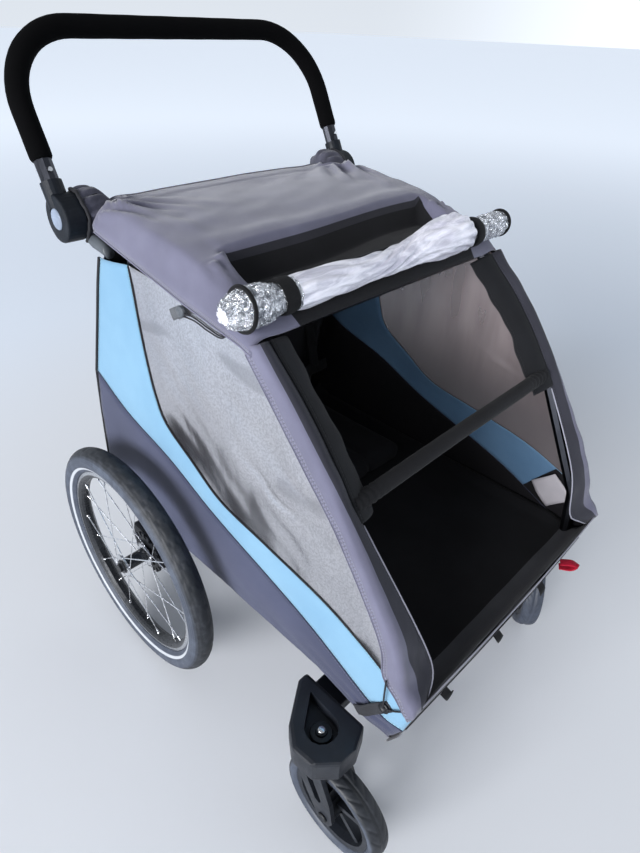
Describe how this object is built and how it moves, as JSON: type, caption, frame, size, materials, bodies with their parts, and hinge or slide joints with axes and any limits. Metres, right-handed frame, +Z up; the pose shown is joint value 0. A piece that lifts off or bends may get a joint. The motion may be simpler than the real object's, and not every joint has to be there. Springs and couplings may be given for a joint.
{
  "type": "child bicycle trailer",
  "caption": "Child bicycle trailer in stroller mode: tube frame, fabric tub and canopy, spoked wheels, swivelling casters, tilting handlebar and parking brake.",
  "frame": {"origin": "on the floor under the middle of the trailer's box", "axes": "+Z up from the floor, -Y the front (towards the casters), +X to the right of someone who faces the trailer's front, X = 0 its middle plane; the names left and right are as that person sees them, left = -X"},
  "size_m": [0.8102, 0.914, 1.1704],
  "materials": {
    "frame_grey": "dark grey satin powder coat",
    "steel": "bright steel",
    "rim_silver": "satin machined aluminium",
    "tyre_rubber": "matt rubber",
    "black_plastic": "fine textured moulding",
    "grey_plastic": "fine textured moulding",
    "button_grey": "satin moulding",
    "foam": "matt foam",
    "violet_grey_cloth": "coated polyester",
    "dark_cloth": "coated polyester",
    "black_cloth": "coated polyester",
    "blue_cloth": "coated polyester",
    "smoked_film": "smoked flexible film",
    "clear_film": "clear flexible film",
    "webbing": "woven webbing"
  },
  "bodies": {
    "chassis": {"base_frame": "frame_grey", "rear_hoop": "frame_grey", "roof_front_tube": "frame_grey", "axle_tube": "frame_grey", "side_frame_left": "frame_grey", "side_frame_right": "frame_grey", "crossbar": "black_cloth", "axle_housing_left": "black_plastic", "axle_housing_right": "black_plastic", "caster_block_left": "grey_plastic", "caster_block_right": "grey_plastic", "hub_inner_left": "grey_plastic", "hub_inner_right": "grey_plastic", "tub": "dark_cloth", "rear_panel": "dark_cloth", "canopy": "violet_grey_cloth", "side_panel_left": "blue_cloth", "side_panel_right": "blue_cloth", "side_window_left": "smoked_film", "side_window_right": "smoked_film", "pillar_cover_left": "violet_grey_cloth", "pillar_cover_right": "violet_grey_cloth", "opening_flap_left": "black_cloth", "opening_flap_right": "black_cloth", "seat_base": "black_cloth", "seat_back": "black_cloth", "harness": "webbing", "rain_cover_roll": "clear_film", "roll_strap_left": "webbing", "roll_strap_right": "webbing", "corner_hook": "webbing"},
    "handlebar": {"handlebar_tube": "frame_grey", "handlebar_grip": "foam", "hub_outer_left": "grey_plastic", "hub_outer_right": "grey_plastic"},
    "brake_pedal": {"brake_pedal": "black_plastic"},
    "hub_button_left": {"hub_button_left": "button_grey"},
    "snap_pin_left": {"snap_pin_left": "steel"},
    "wheel_left": {"wheel_tyre_left": "tyre_rubber", "wheel_rim_left": "rim_silver", "hub_and_spokes_left": "steel", "brake_ring_left": "black_plastic"},
    "wheel_button_left": {"wheel_button_left": "black_plastic"},
    "brake_pin_left": {"brake_pin_left": "steel"},
    "caster_fork_left": {"caster_fork_left": "grey_plastic", "swivel_cap_left": "black_plastic"},
    "caster_wheel_left": {"caster_tyre_left": "tyre_rubber", "caster_rim_left": "grey_plastic"},
    "hub_button_right": {"hub_button_right": "button_grey"},
    "snap_pin_right": {"snap_pin_right": "steel"},
    "wheel_right": {"wheel_tyre_right": "tyre_rubber", "wheel_rim_right": "rim_silver", "hub_and_spokes_right": "steel", "brake_ring_right": "black_plastic"},
    "wheel_button_right": {"wheel_button_right": "black_plastic"},
    "brake_pin_right": {"brake_pin_right": "steel"},
    "caster_fork_right": {"caster_fork_right": "grey_plastic", "swivel_cap_right": "black_plastic"},
    "caster_wheel_right": {"caster_tyre_right": "tyre_rubber", "caster_rim_right": "grey_plastic"}
  },
  "joints": [
    {"name": "handlebar_tilt", "type": "hinge", "parent": "chassis", "child": "handlebar", "pos_m": [0, 0.314, 0.902], "axis": [1, 0, 0], "range_deg": [-90, 100]},
    {"name": "brake_pedal_press", "type": "hinge", "parent": "chassis", "child": "brake_pedal", "pos_m": [0, 0.252, 0.255], "axis": [-1, 0, 0], "range_deg": [0, 18]},
    {"name": "hub_button_left_press", "type": "slide", "parent": "handlebar", "child": "hub_button_left", "axis": [1, 0, 0], "range_m": [0, 0.004], "stiffness_N_per_m": 500, "springref_m": -0.002},
    {"name": "snap_pin_left_press", "type": "slide", "parent": "handlebar", "child": "snap_pin_left", "axis": [0, 0.8988, -0.4384], "range_m": [0, 0.003], "stiffness_N_per_m": 500, "springref_m": -0.002},
    {"name": "wheel_left_spin", "type": "hinge", "parent": "chassis", "child": "wheel_left", "pos_m": [-0.365, 0.207, 0.25], "axis": [1, 0, 0], "continuous": true},
    {"name": "wheel_button_left_press", "type": "slide", "parent": "wheel_left", "child": "wheel_button_left", "axis": [1, 0, 0], "range_m": [0, 0.004], "stiffness_N_per_m": 500, "springref_m": -0.002},
    {"name": "brake_pin_left_slide", "type": "slide", "parent": "chassis", "child": "brake_pin_left", "axis": [-1, 0, 0], "range_m": [0, 0.008]},
    {"name": "caster_left_swivel", "type": "hinge", "parent": "chassis", "child": "caster_fork_left", "pos_m": [-0.351, -0.315, 0.2], "axis": [0, 0, 1], "continuous": true},
    {"name": "caster_left_spin", "type": "hinge", "parent": "caster_fork_left", "child": "caster_wheel_left", "pos_m": [-0.351, -0.357, 0.1], "axis": [1, 0, 0], "continuous": true},
    {"name": "hub_button_right_press", "type": "slide", "parent": "handlebar", "child": "hub_button_right", "axis": [-1, 0, 0], "range_m": [0, 0.004], "stiffness_N_per_m": 500, "springref_m": -0.002},
    {"name": "snap_pin_right_press", "type": "slide", "parent": "handlebar", "child": "snap_pin_right", "axis": [0, 0.8988, -0.4384], "range_m": [0, 0.003], "stiffness_N_per_m": 500, "springref_m": -0.002},
    {"name": "wheel_right_spin", "type": "hinge", "parent": "chassis", "child": "wheel_right", "pos_m": [0.365, 0.207, 0.25], "axis": [1, 0, 0], "continuous": true},
    {"name": "wheel_button_right_press", "type": "slide", "parent": "wheel_right", "child": "wheel_button_right", "axis": [-1, 0, 0], "range_m": [0, 0.004], "stiffness_N_per_m": 500, "springref_m": -0.002},
    {"name": "brake_pin_right_slide", "type": "slide", "parent": "chassis", "child": "brake_pin_right", "axis": [1, 0, 0], "range_m": [0, 0.008]},
    {"name": "caster_right_swivel", "type": "hinge", "parent": "chassis", "child": "caster_fork_right", "pos_m": [0.351, -0.315, 0.2], "axis": [0, 0, 1], "continuous": true},
    {"name": "caster_right_spin", "type": "hinge", "parent": "caster_fork_right", "child": "caster_wheel_right", "pos_m": [0.3166, -0.33909, 0.1], "axis": [0.5736, -0.8192, 0], "continuous": true}
  ],
  "couplings": [
    {"joint": "brake_pin_left_slide", "follows": "brake_pedal_press", "m_per_rad": 0.02546},
    {"joint": "brake_pin_right_slide", "follows": "brake_pedal_press", "m_per_rad": 0.02546}
  ]
}
